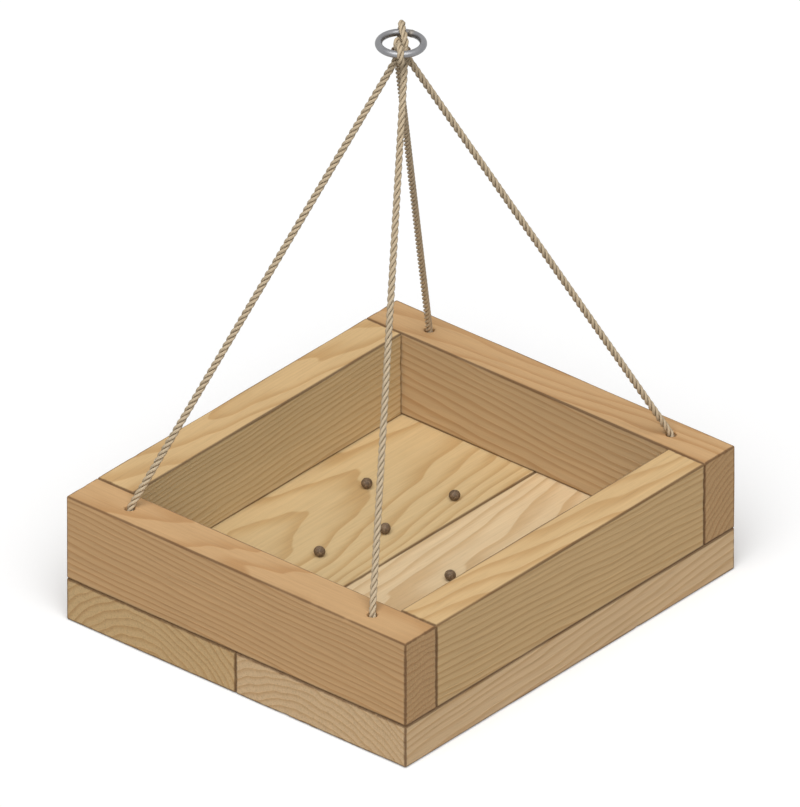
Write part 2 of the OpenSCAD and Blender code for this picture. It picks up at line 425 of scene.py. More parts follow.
def leg(side_x, side_v):
    """A leg from the knot up to the bundle, as points."""
    hole = np.array([side_x * HOLE_X, -HOLE_Y, 0])
    spot = placed(side_v * BUNDLE_HALF, BUNDLE_HALF, 0)
    across = np.linalg.norm(spot - hole)
    inward = unit(spot - hole)
    lean = FIRST_LEAN
    both = FOOT_BEND + LEG_BEND
    for _ in range(LEAN_TRIES):
        lean = math.atan((across - both * (1 - math.cos(lean)))
                         / (BUNDLE_FOOT - FOOT_FROM - both * math.sin(lean)))
    a = np.linspace(0, lean, ARC_STEPS)[:, None]
    foot = hole + FOOT_BEND * (1 - np.cos(a)) * inward + (FOOT_FROM + FOOT_BEND * np.sin(a)) * UP
    a = a[::-1]
    head = spot - LEG_BEND * (1 - np.cos(a)) * inward + (BUNDLE_FOOT - LEG_BEND * np.sin(a)) * UP
    return np.concatenate([[hole + POCKET_H * UP], foot, head])


def front_route():
    """The front cord, from the left knot over the ring's wire to the right knot."""
    loop_r = CORD_D / 2 + WIRE_R + LOOP_GAP
    rise, top = heights(LOOP_GAP)
    a = np.linspace(0, math.pi - LOOP_LEAVE, ARC_STEPS)
    leaving = placed(-BUNDLE_HALF, BUNDLE_HALF + OUT_BEND * (1 - np.cos(a)),
                     rise + OUT_BEND * np.sin(a))
    turn = np.linspace(-1, 1, 3 * ARC_STEPS)
    a = -LOOP_LEAVE * turn
    loop = placed(LOOP_SIDE * turn, RING_R + loop_r * np.cos(a), RING_Z + loop_r * np.sin(a))
    a = np.linspace(LOOP_LEAVE, 0, ARC_STEPS)
    back_in = placed(BUNDLE_HALF, BUNDLE_HALF + IN_BEND * (1 - np.cos(a)),
                     top + IN_BEND * np.sin(a))
    return np.concatenate([leg(-1, -1), leaving, loop, back_in, leg(1, 1)[::-1]])


cornered, _ = evenly(front_route(), ROUTE_STEP)
front_path, front_reached = evenly(softened(cornered, SOFT_TIMES), ROUTE_STEP)
print(f"a cord is {front_reached[-1] * 1000:.0f} mm long between its knots")

# %% [markdown]
# ## Laid rope
# Three strands lie round each other like the stripes of a candy cane. A strand
# touches its two neighbours when the circle that their middles go round has
# 0.268 of the rope's diameter as its radius. Modelling the strands, and not only
# painting them, gives the cord its knobbly outline and real grooves.

# %% Rope finish
YARNS = 8
YARN_PITCH = 1.9 * MM
YARN_RELIEF = 0.2 * MM


def rope_finish(name, shade, groove_shadow_colour):
    """Fibre: yarns twisted across each strand, fine hairs along them, and painted shade in the
    grooves between strands.

    UV u runs along a strand in metres and v round it, with v = 0 outermost.
    """
    finish = Finish(name)
    u, v, _ = finish.axes(finish.uv())
    yarn = ((v * YARNS + u / YARN_PITCH) * (2 * math.pi)).wave() * 0.5 + 0.5
    hairs = finish.noise(finish.vector(u * 900 + v * 3, v * 22, u * 60), 2.2, 3, 0.6)
    patches = finish.noise(finish.coordinates(), 70, 2, 0.5)
    # Painted shade: the inner side of each strand, down in the groove, is darker.
    painted_groove_shade = (v - 0.5).size().rise(0.34, 0.08)
    tone = 0.66 + hairs * 0.34 + yarn * 0.22 + patches * 0.1
    base = finish.mix(painted_groove_shade, shade, groove_shadow_colour)
    toned = finish.node("ShaderNodeVectorMath", {"operation": "SCALE"}, {0: base, "Scale": tone})
    relief = yarn * 0.6 + hairs * 0.4
    return finish.shade(
        Base_Color=toned,
        Roughness=0.9,
        Specular_IOR_Level=0.15,
        Normal=finish.bump(relief, YARN_RELIEF),
    )


# The second colour is the painted shade in the rope's grooves.
CORD_FINISH = rope_finish("natural_cord", colour(205, 186, 157), colour(132, 113, 88))


# %% [markdown]
# ## Laying the cords
# The strands go once round each other in 9.5 mm, about three times the cord's
# thickness, as in a firmly laid cord. The back cord's route is the front one's,
# turned half round about the feeder's middle, so one rope is laid and the other
# is that rope turned.

# %% Lay the two cords
STRANDS = 3
STRAND_COLUMNS = 10
LAY = 9.5 * MM
STRAND_AT = 0.268 * CORD_D
STRAND_R = 0.231 * CORD_D


def laid_rope(path, lengths, across):
    """Three tubes round a path.

    A strand's middle is the path plus STRAND_AT times a direction that makes one
    turn in LAY; that direction is also where the strand's own v = 0 points.
    """
    heading = unit(np.gradient(path, axis=0))
    across = unit(across - (heading @ across)[:, None] * heading)
    square = np.cross(heading, across)
    strands = []
    for k in range(STRANDS):
        a = 2 * np.pi * (lengths / LAY + k / STRANDS)[:, None]
        away = np.cos(a) * across + np.sin(a) * square
        middle = path + STRAND_AT * away
        strands.append(round_tube(middle, away, STRAND_R, STRAND_COLUMNS, lengths))
    return gathered(strands)


cord_points, cord_faces, cord_uv = laid_rope(front_path, front_reached, sideways)
HALF_TURN = np.array([-1.0, -1.0, 1.0])
for name, turn in (("front_cord", np.ones(3)), ("back_cord", HALF_TURN)):
    made = piece(name + "_rope", cord_points * turn, cord_faces, CORD_FINISH, uv=cord_uv)
    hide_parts(name)
print("one rope:", len(cord_points), "points")

# %% [markdown]
# ## Stopper knots
# Under the floor each cord ends in an overhand knot, too big for its hole. An
# overhand knot is a trefoil with one loop cut open: while the middle line goes
# round twice it dips and rises three times. The cord comes down from the hole
# over the knot's top and dives into it, and its end comes out underneath.
# The knot is just loose enough for the cord never to pass through itself.

# %% Tie the knots
KNOT_R = 3.8 * MM
KNOT_WOBBLE = 1.7 * MM
KNOT_RISE = 1.8 * MM
KNOT_Z = POCKET_H - 6.5 * MM
KNOT_START, KNOT_END = 0.75, 2 * np.pi - 0.4
KNOT_POINTS = 160
KNOT_STEP = 0.35 * MM
KNOT_ROW = 0.4 * MM
KNOT_SOFT = 14
COMES_DOWN = np.array([[0, 0, 13], [0, 0, 11.6], [1.2, 0.2, 9.9], [1.6, 1.8, 8.5]]) * MM
TAIL = np.array([[4.6, -2.1, 2.4], [4.5, -0.9, 1.8]]) * MM
LAY_FROM = np.array([0.3, 0.2, 0.93])


def knot_path():
    """The middle line of one knot, about the axis of its hole.

    Between COMES_DOWN and TAIL it is the trefoil ((R + w cos 3t) cos 2t, (R + w
    cos 3t) sin 2t, KNOT_Z + h sin 3t). A running mean rounds where they join it.
    """
    t = np.linspace(KNOT_START, KNOT_END, KNOT_POINTS)
    ring = KNOT_R + KNOT_WOBBLE * np.cos(3 * t)
    height = KNOT_Z + KNOT_RISE * np.sin(3 * t)
    trefoil = np.stack([ring * np.cos(2 * t), ring * np.sin(2 * t), height], 1)
    line, _ = evenly(np.concatenate([COMES_DOWN, trefoil, TAIL]), KNOT_STEP)
    return softened(line, KNOT_SOFT)


knot_line, knot_reached = evenly(knot_path(), KNOT_ROW)
knot_points, knot_faces, knot_uv = laid_rope(knot_line, knot_reached, LAY_FROM)
for corner, at_x, at_y in (("front_left", -1, -1), ("front_right", 1, -1),
                           ("back_left", -1, 1), ("back_right", 1, 1)):
    turn = np.array([-at_x, -at_x, 1.0])
    place = np.array([at_x * HOLE_X, at_y * HOLE_Y, 0])
    made = piece(corner + "_overhand_knot", knot_points * turn + place, knot_faces,
                 CORD_FINISH, uv=knot_uv)
    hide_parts(corner + "_knot")

# %% [markdown]
# ## The whipping
# Below the ring two turns of waxed thread bind the four cords. Pulled tight,
# the thread follows the outline of a square with round corners: four quarter
# circles about the cords' middles, joined by straight runs. The second turn
# lies on the first, so the thread steps up by its own width between them, and
# each end curls back into a cord, as a needle would pull it.

# %% Wind the thread
STEP_HALF = 1 * MM
TUCK_BEND = 0.55 * MM
TUCK_TURN = math.radians(140)
THREAD_ROOM = 0.01 * MM
THREAD_STEP = 0.15 * MM
THREAD_COLUMNS = 10
PLIES = 2
PLY_PITCH = 0.7 * MM
PLY_RELIEF = 0.1 * MM


def thread_finish():
    """Waxed thread: two plies twisted together, and a slight gloss."""
    finish = Finish("waxed_thread")
    u, v, _ = finish.axes(finish.uv())
    ply = ((v * PLIES + u / PLY_PITCH) * (2 * math.pi)).wave() * 0.5 + 0.5
    spots = finish.noise(finish.coordinates(), 900, 2)
    base = finish.mix(ply * 0.6 + spots * 0.4, colour(78, 57, 38), colour(122, 96, 66))
    return finish.shade(Base_Color=base, Roughness=0.5, Coat_Weight=0.15,
                        Normal=finish.bump(ply, PLY_RELIEF))


def thread_line():
    """Two level turns, one on the other, with both ends curled inside.

    A turn's quarter circles are (c cos m + r cos a, c sin m + r sin a), where the
    cord's middle lies c away at angle m. The thread climbs only in the middle of
    the straight run between the turns, where it clears both curled ends.
    """
    a = np.linspace(0, 2 * np.pi, 4 * ARC_STEPS + 1)[:-1]
    m = np.pi / 4 + np.floor(a / (np.pi / 2)) * np.pi / 2
    c = BUNDLE_HALF * math.sqrt(2)
    r = CORD_D / 2 + THREAD_D / 2
    once = np.stack([c * np.cos(m) + r * np.cos(a), c * np.sin(m) + r * np.sin(a)], 1)
    side = BUNDLE_HALF + r
    b = np.linspace(-TUCK_TURN, 0, ARC_STEPS)
    curl = np.stack([side + TUCK_BEND * (np.cos(b) - 1), BUNDLE_HALF + TUCK_BEND * np.sin(b)], 1)
    lower = np.concatenate([curl, once, [[side, -STEP_HALF]]])
    upper = np.concatenate([[[side, STEP_HALF]], once, curl[::-1] * [1, -1]])
    z = np.repeat([BUNDLE_TOP - WHIP_H + THREAD_D / 2, BUNDLE_TOP - THREAD_D / 2], len(lower))
    return np.column_stack([np.concatenate([lower, upper]), z])


turned = thread_line()
turned = turned[:, :1] * sideways - turned[:, 1:2] * outward + turned[:, 2:] * UP
bent, _ = evenly(turned, THREAD_STEP)
thread_path, thread_reached = evenly(softened(bent, SOFT_TIMES), THREAD_STEP)
thread_points, thread_faces, thread_uv = round_tube(
    thread_path, np.broadcast_to(UP, thread_path.shape), THREAD_D / 2 - THREAD_ROOM,
    THREAD_COLUMNS, thread_reached)
whipping = piece("thread_whipping", thread_points, thread_faces, thread_finish(),
                 uv=thread_uv)
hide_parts("cord_whipping")

for name, side_y, pieces in (
    ("front_cord", -1, ("front_left", "front_right", "whipping")),
    ("back_cord", 1, ("back_right", "back_left")),
):
    turn = np.ones(3) if side_y < 0 else HALF_TURN

# %% [markdown]
# ## The ring
# A welded steel ring is drawn wire, bent round and joined. Its section is a
# circle, and at the weld the wire is a hair thicker. It is a tube whose path
# closes, so the columns run round the wire and the last row joins the first.

# %% Bend the ring
WELD_FROM_LOOP = math.radians(62)
WELD_AT = LOOP_TURN + WELD_FROM_LOOP
WELD_RISE = 0.12 * MM
WELD_SPREAD = 0.7 * MM
DRAWN_THIN = 0.02 * MM
HEAT_WIDE, HEAT_FULL = 2.6 * MM, 0.4 * MM
STEEL_RELIEF = 0.03 * MM


def ring_finish():
    """Drawn steel wire: fine lines along it, cloudy zinc, and straw colour at the weld."""
    finish = Finish("ring_steel")
    u, v, _ = finish.axes(finish.uv())
    lines = finish.noise(finish.vector(u * 40, v * 60, 0), 1.6, 2)
    cloud = finish.noise(finish.coordinates(), 260, 3, 0.6)
    heat = (u - WELD_AT * RING_R).size().rise(HEAT_WIDE, HEAT_FULL)
    base = finish.mix(cloud, colour(128, 128, 130), colour(150, 150, 152))
    base = finish.mix(heat * 0.45, base, colour(134, 122, 100))
    return finish.shade(Base_Color=base, Metallic=1.0, Roughness=0.34 + cloud * 0.14 + heat * 0.1,
                        Normal=finish.bump(lines * 0.6 + cloud * 0.4, STEEL_RELIEF))


def ring_surface(rows=180, columns=28):
    """Middle circle plus the wire's circle; the weld adds a low bell, WELD_RISE high.

    b counts backwards round the wire, so that the faces look outward.
    """
    a = 2 * np.pi * np.arange(rows) / rows
    away = np.stack([np.cos(a), np.sin(a), np.zeros(rows)], 1)
    gap = np.angle(np.exp(1j * (a - WELD_AT))) * RING_R
    wire = WIRE_R - DRAWN_THIN + WELD_RISE * np.exp(-((gap / WELD_SPREAD) ** 2))
    b = -2 * np.pi * np.arange(columns) / columns
    points = ((RING_R + wire[:, None] * np.cos(b))[..., None] * away[:, None]
              + (RING_Z + wire[:, None] * np.sin(b))[..., None] * UP)
    faces = grid_faces(rows + 1, columns) % (rows * columns)
    lengths = np.arange(rows + 1) / rows * 2 * np.pi * RING_R
    return points.reshape(-1, 3), [faces], grid_uv(lengths, columns)


ring_points, ring_faces, ring_uv = ring_surface()
ring = piece("welded_ring", ring_points, ring_faces, ring_finish(), body="ring",
             uv=ring_uv)
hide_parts("hanging_ring")
print(f"ring {2 * (RING_R + WIRE_R) * 1000:.1f} mm across")

# %% [markdown]
# ## Softwood
# A board is a slice out of a trunk, so its grain is a solid pattern and not a
# picture on its faces: growth rings are tubes round the pith, and every face
# shows where it cuts them. A board that lies a little askew to the trunk gets
# the pointed arches of flat-sawn timber on its wide face, and arcs on its end.
# Each ring starts pale and ends dark. Fine fibres run along the board, and
# the edges are dark: partly wear where hands and weather reach first, partly
# painted shade that darkens the seams between boards and outlines each board.

# %% Wood finish
# The edge colour: partly wear, partly painted shade along the seams and outlines.
EDGE_WEAR_AND_SHADE_COLOUR = colour(88, 59, 34)
PLAIN = (1.0, 1.0, 1.0)
# How far from an edge, an end or an inner face an effect begins, and where it's full.
EDGE_DARK_REACH = (1.25 * MM, 0.35 * MM)
END_REACH = (1.0 * MM, 0.3 * MM)
INSIDE_LIGHT_REACH = (0.9 * MM, 0.4 * MM)
EDGE_DARK_WANDER = 0.9 * MM
RING_DRIFT = 7 * MM
GRAIN_RELIEF = 0.16 * MM


def wood_finish(name, low, high, grain, ring_gap, shade, pith, lean, knots=(), inside_painted_light=PLAIN):
    """Growth rings, fibres, knots, end grain, and dark edges of wear and painted shade for one
    board.

    low and high are the board's corners, grain the number of its long axis and
    ring_gap the width of a growth ring. pith is where the trunk's middle lies
    across the board, and lean how far that shifts for each metre along. A knot is
    its place along, its place across and its size. The last argument multiplies
    the colour on faces that look into the tray: painted light that tints them
    against the reddish light bounced between the boards. The nearest edge of a
    point is the middle one of its three distances to the board's faces, since the
    smallest is to its own.
    """
    finish = Finish(name)
    at = finish.coordinates()
    axes = finish.axes(at)
    along = axes[grain]
    wide, thick = axes[1 - grain], axes[2]
    middle = (np.asarray(low) + high) / 2
    half = (np.asarray(high) - low) / 2

    inset = [float(half[k]) - (axes[k] - float(middle[k])).size() for k in range(3)]
    first, second, third = inset
    edge = first.least(second).most(first.most(second).least(third))
    cut_end = inset[grain].rise(*END_REACH)
    # Faces that look into the tray, where the colour carries painted light.
    to_wall = (TRAY_W / 2 - BOARD_T - axes[0].size()).least(TRAY_D / 2 - BOARD_T - axes[1].size())
    begin, full = INSIDE_LIGHT_REACH
    inside = to_wall.rise(-begin, -full) * axes[2].rise(BOARD_T - begin, BOARD_T - full)

    drift = finish.noise(finish.vector(along, wide * 4, thick * 4), 14, 2, 0.45)
    across = wide - pith[0] + along * lean[0]
    depth = thick - pith[1] + along * lean[1]
    radius = (across * across + depth * depth).root() + (drift - 0.5) * RING_DRIFT
    knot_core = 0.0
    knot_halo = 0.0
    for place_along, place_wide, size in knots:
        far = (along - place_along) / 1.5
        near = wide - place_wide
        apart = (far * far + near * near).root()
        radius = radius + apart.rise(5.5 * size, 0) * (2.6 * size)
        knot_core = apart.rise(1.15 * size, 0.85 * size) + knot_core
        knot_halo = apart.rise(3.2 * size, 0.6 * size) + knot_halo

    unsteady = finish.noise(finish.vector(radius * 70, 0, 0), 1.0, 2)
    turn = radius / ring_gap + unsteady * 1.6
    part = turn.fraction()
    late = (part.rise(0.3, 0.92) ** 1.5) * part.rise(1.0, 0.94)
    strength = finish.noise(finish.vector(turn * 0.31, 0, 4), 1.0, 1) * 0.9 + 0.2
    fibre = finish.noise(finish.vector(along, wide * 48, thick * 48), 26, 4, 0.62)
    streak = finish.noise(finish.vector(along * 0.5, wide * 14, thick * 14), 30, 3, 0.5)
    dash = finish.noise(finish.vector(along, wide * 20, thick * 20), 110, 1, 0.5).rise(0.6, 0.74)
    cloud = finish.noise(at, 22, 2, 0.5)
    pores = finish.noise(at, 1500, 2, 0.6)
    # Wear and painted shade: a dark band along every edge of the board.
    edge_wear_and_shade = (edge + (streak - 0.5) * EDGE_DARK_WANDER).rise(*EDGE_DARK_REACH)

    dark = (shade[0] * 0.8, shade[1] * 0.67, shade[2] * 0.52, 1.0)
    base = finish.mix(late * strength, scaled(shade, 1.07), dark)
    if knots:
        base = finish.mix(knot_halo * 0.45, base, scaled(dark, 0.8))
        rings = (knot_core * 9 + drift * 6).wave() * 0.5 + 0.5
        core = finish.mix(rings, scaled(dark, 0.42), scaled(dark, 0.6))
        base = finish.mix(knot_core, base, core)
    tone = 0.78 + fibre * 0.3 + streak * 0.1 + cloud * 0.08 - dash * 0.07
    tone = tone * (1 - cut_end * (0.07 + pores.rise(0.5, 0.7) * 0.14))
    base = finish.node("ShaderNodeVectorMath", {"operation": "SCALE"}, {0: base, "Scale": tone})
    # Painted light: faces inside the tray are tinted against the reddish bounced light.
    base = finish.mix(inside, base, (*inside_painted_light, 1.0), blend="MULTIPLY")
    # The dark edge band, partly wear and partly painted shade, goes on last.
    base = finish.mix(edge_wear_and_shade * 0.8, base, EDGE_WEAR_AND_SHADE_COLOUR)

    relief = fibre * 0.5 + late * 0.35 + pores * cut_end * 0.5 - dash * 0.25
    return finish.shade(
        Base_Color=base,
        Roughness=0.66 - late * 0.1 + fibre * 0.12,
        Specular_IOR_Level=0.25,
        Normal=finish.bump(relief, GRAIN_RELIEF),
    )


# %% [markdown]
# ## Planed boards
# A box with sharp edges looks cut from paper. On real lumber the planer and a
# few strokes of sandpaper leave each edge about 0.75 mm round, a little more
# here and less there, and the faces are never quite flat. Every point of a
# sharp box is pulled onto a box that is smaller by the radius, and pushed out
# again by the radius: on a face nothing changes, at an edge it makes the arc.

# %% Rounded boxes
ARRIS = 0.75 * MM
ARRIS_ROOM = 1.3
ARRIS_VARIES = 0.28
ARRIS_WAVE = 60 * MM
PITCH = 1.6 * MM
DENTS = 9
DENT_FROM_END = 6 * MM
DENT_SIZES = (0.8, 2.2)
DENT_DEPTHS = (0.1, 0.3)
FACE_DROP = 0.035 * MM
FACE_WAVE = 45 * MM


def ruled(low, high):
    """Grid lines from low to high: crowded in the arris, even between.

    The 45 degrees of arris on each face are cut into equal angles, so the lines
    lie at the radius times one less the tangent of the angle. The radius varies
    from place to place, and ARRIS_ROOM times its mean holds nearly all of it.
    """
    room = ARRIS * ARRIS_ROOM
    bend = room * (1 - np.tan(np.radians([45, 34, 23, 12])))
    inner = np.linspace(low + room, high - room, max(2, int((high - low) / PITCH)))
    return np.concatenate([low + bend, inner, high - bend[::-1]])


def box_grid(lines):
    """The six faces of a box ruled by lines[0], lines[1] and lines[2], welded at the edges."""
    counts = tuple(len(line) for line in lines)
    quads = []
    for axis in range(3):
        u, v = (axis + 1) % 3, (axis + 2) % 3
        i, j = np.meshgrid(np.arange(counts[u] - 1), np.arange(counts[v] - 1), indexing="ij")
        for end, steps in ((counts[axis] - 1, ((0, 0), (1, 0), (1, 1), (0, 1))),
                           (0, ((0, 1), (1, 1), (1, 0), (0, 0)))):
            cell = np.zeros((4, *i.shape, 3), int)
            cell[..., axis] = end
            for corner, (step_u, step_v) in enumerate(steps):
                cell[corner, ..., u] = i + step_u
                cell[corner, ..., v] = j + step_v
            numbers = np.ravel_multi_index(tuple(np.moveaxis(cell, -1, 0)), counts)
            quads.append(numbers.reshape(4, -1).T)
    used, faces = np.unique(np.concatenate(quads), return_inverse=True)
    nodes = np.unravel_index(used, counts)
    return np.stack([line[index] for line, index in zip(lines, nodes)], 1), faces.reshape(-1, 4)


def waves(points, rng, length, count=5):
    """A smooth wander: 1.4 times the mean of sines of random slant and phase."""
    slants = rng.normal(size=(3, count)) * 2 * np.pi / length
    return np.sin(points @ slants + rng.uniform(0, 2 * np.pi, count)).mean(1) * 1.4


def board_surface(low, high, seed):
    """A planed board: rounded box, uneven arris, faces a hair low, dents on its edges.

    The radius is ARRIS (1 + ARRIS_VARIES wander), a face lies FACE_DROP (1 +
    wander) low, and each dent adds a bell. DENT_SIZES and DENT_DEPTHS are in
    millimetres.
    """
    rng = np.random.default_rng(seed)
    low, high = np.array(low), np.array(high)
    sharp, faces = box_grid([ruled(low[k], high[k]) for k in range(3)])
    radius = (ARRIS * (1 + ARRIS_VARIES * waves(sharp, rng, ARRIS_WAVE)))[:, None]
    held = np.clip(sharp, low + radius, high - radius)
    out = unit(sharp - held)
    points = held + radius * out
    low_by = FACE_DROP * (1 + waves(sharp, rng, FACE_WAVE))
    sides = rng.integers(0, 2, (DENTS, 3)) * (high - low) + low
    free = rng.integers(0, 3, DENTS)
    places = rng.uniform(low[free] + DENT_FROM_END, high[free] - DENT_FROM_END)
    sides[np.arange(DENTS), free] = places
    size = rng.uniform(*DENT_SIZES, DENTS) * MM
    apart = np.linalg.norm(points[:, None] - sides, axis=2)
    depth = rng.uniform(*DENT_DEPTHS, DENTS) * MM
    low_by = low_by + (depth * np.exp(-((apart / size) ** 2))).sum(1)
    return points - out * low_by[:, None], faces


# %% [markdown]
# ## Drilled holes
# Cord holes, countersinks and dowel holes are all turned shapes: a profile of
# radius against depth, spun about an axis. They are subtracted from the board
# with Blender's exact Boolean, which is then made part of the mesh. The upper
# mouth of a cord hole flares, because the cord has rubbed it round.

# %% Drill bits
SHARP_EDGE = math.radians(38)
ASKEW = np.array([0.31, 0.77, 0.55])


def turned_solid(profile, start, axis, columns=40):
    """A closed solid: each (radius, depth) of the profile becomes a circle about the axis.

    ASKEW is parallel to none of the axes used, so the cross product never vanishes.
    """
    profile = np.asarray(profile) * MM
    axis = unit(np.asarray(axis, float))
    across = unit(np.cross(axis, ASKEW))
    square = np.cross(axis, across)
    a = 2 * np.pi * np.arange(columns) / columns
    circle = np.cos(a)[:, None] * across + np.sin(a)[:, None] * square
    points = (np.asarray(start) + profile[:, 1, None, None] * axis
              + profile[:, 0, None, None] * circle).reshape(-1, 3)
    rows = len(profile)
    caps = [np.arange(columns)[::-1][None], (np.arange(columns) + (rows - 1) * columns)[None]]
    return points, [grid_faces(rows, columns), *caps], np.zeros(((rows - 1) * columns * 4, 2))


def drilled(board, bits):
    """Subtract all bits from a board and keep the result as its mesh."""
    points, faces, _ = gathered(bits)
    mesh = bpy.data.meshes.new("bits")
    mesh.from_pydata(points.tolist(), [], [face for group in faces for face in group.tolist()])
    tool = bpy.data.objects.new("bits", mesh)
    bpy.context.scene.collection.objects.link(tool)
    cut = board.modifiers.new("drill", "BOOLEAN")
    cut.operation = "DIFFERENCE"
    cut.solver = "EXACT"
    cut.object = tool
    worked_out = board.evaluated_get(bpy.context.evaluated_depsgraph_get())
    done = bpy.data.meshes.new_from_object(worked_out)
    board.modifiers.clear()
    board.data = done
    bpy.data.objects.remove(tool)
    done.polygons.foreach_set("use_smooth", np.ones(len(done.polygons), bool))
    done.set_sharp_from_angle(angle=SHARP_EDGE)


SCREW_COLUMNS = 28
SIDE_X = (TRAY_W - BOARD_T) / 2
SCREW_PLACES = (
    [(x * MM, side * HOLE_Y) for side in (-1, 1) for x in (-46, -22, 22, 46)]
    + [(side * SIDE_X, y * MM) for side in (-1, 1) for y in (-50, 0, 50)])
DOWEL_SHARES = (0.27, 0.73)
# Each profile is (radius, place along the axis) in millimetres. The axis of a
# dowel's bit starts at the joint, and all the others start at the underside.
POCKET_BIT = [(7.9, -1), (7.6, 0), (7.5, 0.25), (7.5, 12), (2.1, 12), (2.1, 20)]
SCREW_BIT = [(4.3, -1), (4.3, 0.9), (4.1, 0.9), (2.3, 2.7), (2.3, 19.6)]
PILOT_BIT = [(1.45, 18), (1.45, 40)]
CORD_BIT = [(2.1, 18), (2.1, 56.35), (2.16, 56.65), (2.32, 56.9), (2.62, 57.08), (3.0, 57.15),
            (3.6, 57.6)]
DOWEL_BIT = [(3, -13), (3, 19)]


def bits_for(low, high):
    """The bits whose axis starts inside a board's outline, or at its joint.

    Their places are those of the cords, screws and dowels in the solid model.
    """
    on_floor = low[2] < 1 * MM
    bits = []

    def inside(x, y):
        return low[0] < x < high[0] and low[1] < y < high[1]

    for x in (-HOLE_X, HOLE_X):
        for y in (-HOLE_Y, HOLE_Y):
            if inside(x, y):
                bits.append(turned_solid(POCKET_BIT if on_floor else CORD_BIT, (x, y, 0), UP))
    for x, y in SCREW_PLACES:
        if inside(x, y):
            bit = SCREW_BIT if on_floor else PILOT_BIT
            bits.append(turned_solid(bit, (x, y, 0), UP, SCREW_COLUMNS))
    if not on_floor:
        for side_x in (-1, 1):
            for side_y in (-1, 1):
                joint = (side_x * SIDE_X, side_y * (TRAY_D / 2 - BOARD_T))
                if low[0] < joint[0] < high[0] and low[1] - 1 * MM < joint[1] < high[1] + 1 * MM:
                    for share in DOWEL_SHARES:
                        start = (*joint, BOARD_T + share * FRAME_H)
                        bits.append(turned_solid(DOWEL_BIT, start, (0, -side_y, 0), SCREW_COLUMNS))
    return bits


# %% [markdown]
# ## The six boards
# Every board takes its box from the solid model. Its row in the table says how
# it was sawn: which way the grain runs, how wide the growth rings are, where
# the trunk's middle lay and how much the board leans from it. Faces that look
# into the tray carry painted light: a tint takes some red away there and adds
# some blue, against the reddish light bounced between the boards. Each floor
# board has one small knot.

# %% Saw, plane and drill the six boards
CROSS_SHADE = colour(193, 156, 112)
SIDE_SHADE = colour(203, 171, 124)
PALE_SHADE = colour(213, 182, 141)
# Painted light for faces inside the tray: less red, more blue, against the reddish light bounced
# between the boards.
WALL_PAINTED_LIGHT = (0.88, 0.99, 1.13)
FLOOR_PAINTED_LIGHT = (0.95, 1.02, 1.08)
BOARD_DRAWS = 3
BOARDS = {
    # name: grain axis, ring gap, shade, pith, lean, knots
    "front_board": (0, 2.7 * MM, CROSS_SHADE, (0.004, -0.022), (0.02, 0.055), ()),
    "back_board": (0, 3.1 * MM, CROSS_SHADE, (0.03, -0.012), (-0.05, 0.03), ()),
    "left_board": (1, 2.5 * MM, SIDE_SHADE, (-0.012, -0.02), (0.03, -0.06), ()),
    "right_board": (1, 2.9 * MM, SIDE_SHADE, (0.03, -0.015), (-0.03, 0.05), ()),
    "floor_board_left": (1, 3.5 * MM, SIDE_SHADE, (-0.05, -0.034), (0.02, 0.075),
                         ((-0.052, -0.062, 2.6 * MM),)),
    "floor_board_right": (1, 3.1 * MM, PALE_SHADE, (0.041, -0.045), (-0.03, -0.06),
                          ((0.043, 0.052, 1.9 * MM),)),
}
for number, (name, (grain, ring_gap, shade, pith, lean, knots)) in enumerate(BOARDS.items()):
    low, high = (np.array(corner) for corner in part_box(name))
    points, faces = board_surface(low, high, seed=number + BOARD_DRAWS)
    on_floor = name.startswith("floor")
    if not on_floor:
        pith = (pith[0] + (low[1 - grain] + high[1 - grain]) / 2, pith[1])
    finish = wood_finish(name + "_wood", low, high, grain, ring_gap, shade, pith, lean, knots,
                         FLOOR_PAINTED_LIGHT if on_floor else WALL_PAINTED_LIGHT)
    slot = "wood_" + name.replace("_board", "") if on_floor else ("wood_cross", "wood_side")[grain]
    board = piece(name + "_planed", points, [faces], finish)
    drilled(board, bits_for(low, high))
    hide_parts(name)
    print(name, len(board.data.polygons), "faces")

# %% [markdown]
# ## Seeds
# A few round seeds lie where the birds left them. Hemp seed fits their size and
# colour: nearly a ball, a little flattened, with a fine keel round it, a small
# point at one end, and a marbled grey-brown shell. The rows of points at its two
# poles are welded into one point each, so that the shell is closed.

# %% Scatter the seeds
SEED_R = 2.4 * MM
SEED_ROWS, SEED_COLUMNS = 28, 40
SEED_SINK = 0.04 * MM
SEED_DRAWS = 11
SEED_FLAT = 0.93
SHELL_RELIEF = 0.05 * MM
SAME_POINT = 1e-6
SEED_SHARES = ((-0.62, 0.36), (-0.15, 0.55), (-0.21, 0.09), (-0.33, -0.28), (0.41, -0.04))


def seed_finish():
    """Marbled shell: dark veins between pale islands, and a dull gloss."""
    finish = Finish("seed_shell")
    at = finish.coordinates()
    cells = finish.node("ShaderNodeTexVoronoi", {"feature": "DISTANCE_TO_EDGE"},
                        {"Vector": at, "Scale": 1300.0, "Randomness": 1.0})
    cloud = finish.noise(at, 600, 3, 0.6, 1.2)
    veins = cells.rise(0.16, 0.02)
    base = finish.mix(cloud.rise(0.35, 0.65), colour(96, 78, 60), colour(130, 108, 84))
    base = finish.mix(veins * 0.55, base, colour(62, 46, 34))
    return finish.shade(Base_Color=base, Roughness=0.5 + cloud * 0.15, Specular_IOR_Level=0.3,
                        Normal=finish.bump(cloud * 0.6 - veins * 0.4, SHELL_RELIEF))


